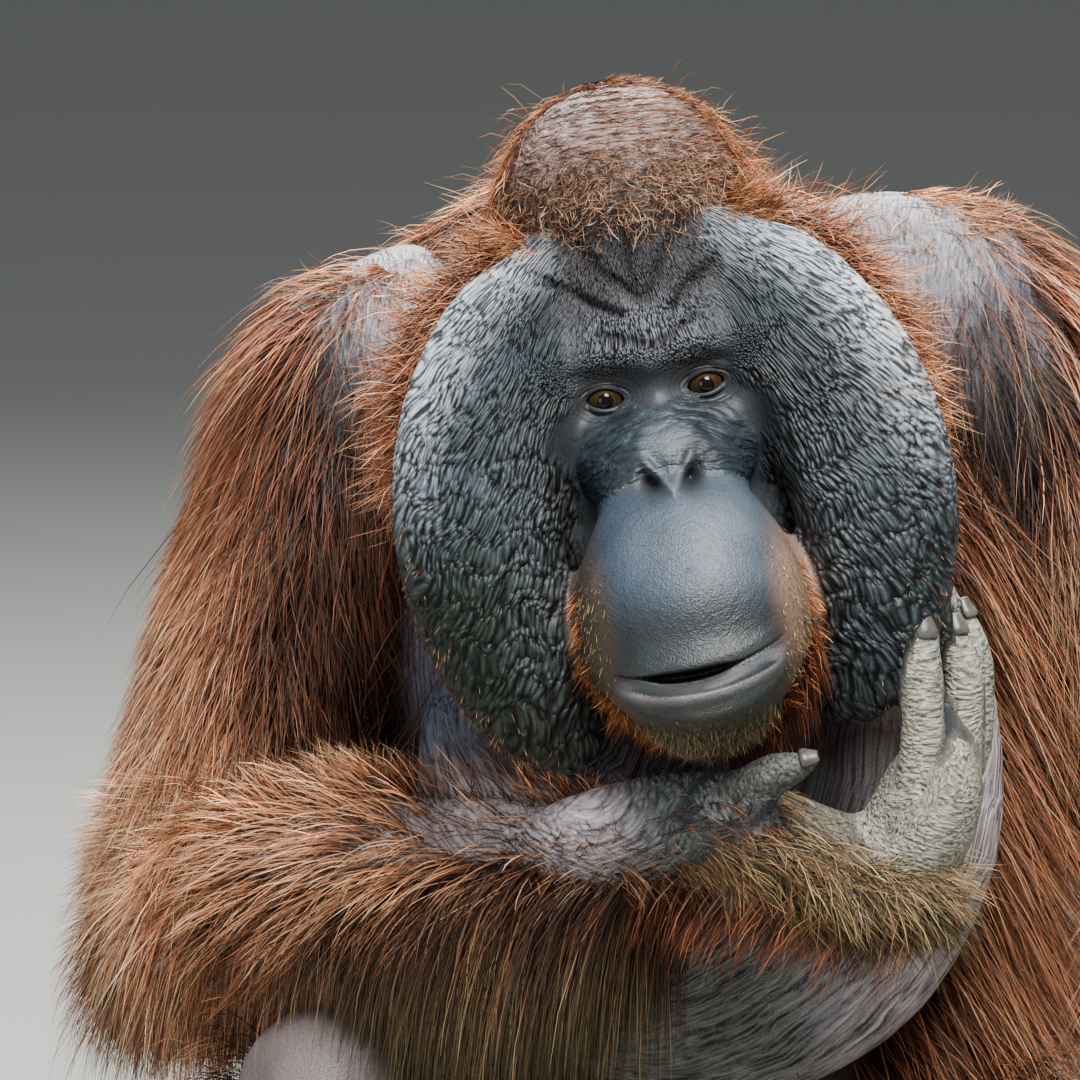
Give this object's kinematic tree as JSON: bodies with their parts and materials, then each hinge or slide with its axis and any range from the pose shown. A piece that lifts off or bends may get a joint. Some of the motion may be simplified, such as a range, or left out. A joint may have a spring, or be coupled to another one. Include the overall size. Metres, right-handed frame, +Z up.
{
  "type": "orangutan",
  "caption": "Still life-size model of a flanged adult male orangutan, seated, with its chin propped on its right hand and its left hand on the floor.",
  "frame": {"origin": "on the floor, in the flat under the seat, in the animal's middle plane at the hips", "axes": "+Z up, -Y the way the animal faces, +X towards the animal's left"},
  "size_m": [0.8077, 0.7848, 0.945],
  "materials": {
    "coat": "long coarse hair",
    "pouch_skin": "fine wrinkled bare skin",
    "face_skin": "pebbled bare skin, slightly moist",
    "hand_skin": "creased bare skin",
    "eye": "wet gloss"
  },
  "bodies": {
    "root": {"eye_right": "eye", "eye_left": "eye", "head": "face_skin", "flange_right": "face_skin", "ear_right": "face_skin", "flange_left": "face_skin", "ear_left": "face_skin", "ruff_right": "coat", "ruff_left": "coat", "palm_right": "hand_skin", "finger_index_right": "hand_skin", "finger_middle_right": "hand_skin", "finger_ring_right": "hand_skin", "finger_little_right": "hand_skin", "thumb_right": "hand_skin", "palm_left": "hand_skin", "finger_index_left": "hand_skin", "finger_middle_left": "hand_skin", "finger_ring_left": "hand_skin", "finger_little_left": "hand_skin", "thumb_left": "hand_skin", "forearm_right": "coat", "forearm_left": "coat", "throat_pouch": "pouch_skin", "shank_right": "coat", "foot_right": "hand_skin", "toe_second_right": "hand_skin", "toe_third_right": "hand_skin", "toe_fourth_right": "hand_skin", "toe_fifth_right": "hand_skin", "toe_great_right": "hand_skin", "shank_left": "coat", "foot_left": "hand_skin", "toe_second_left": "hand_skin", "toe_third_left": "hand_skin", "toe_fourth_left": "hand_skin", "toe_fifth_left": "hand_skin", "toe_great_left": "hand_skin", "upper_arm_right": "coat", "upper_arm_left": "coat", "thigh_right": "coat", "thigh_left": "coat", "neck": "coat", "chest": "coat", "belly": "coat"}
  },
  "joints": []
}
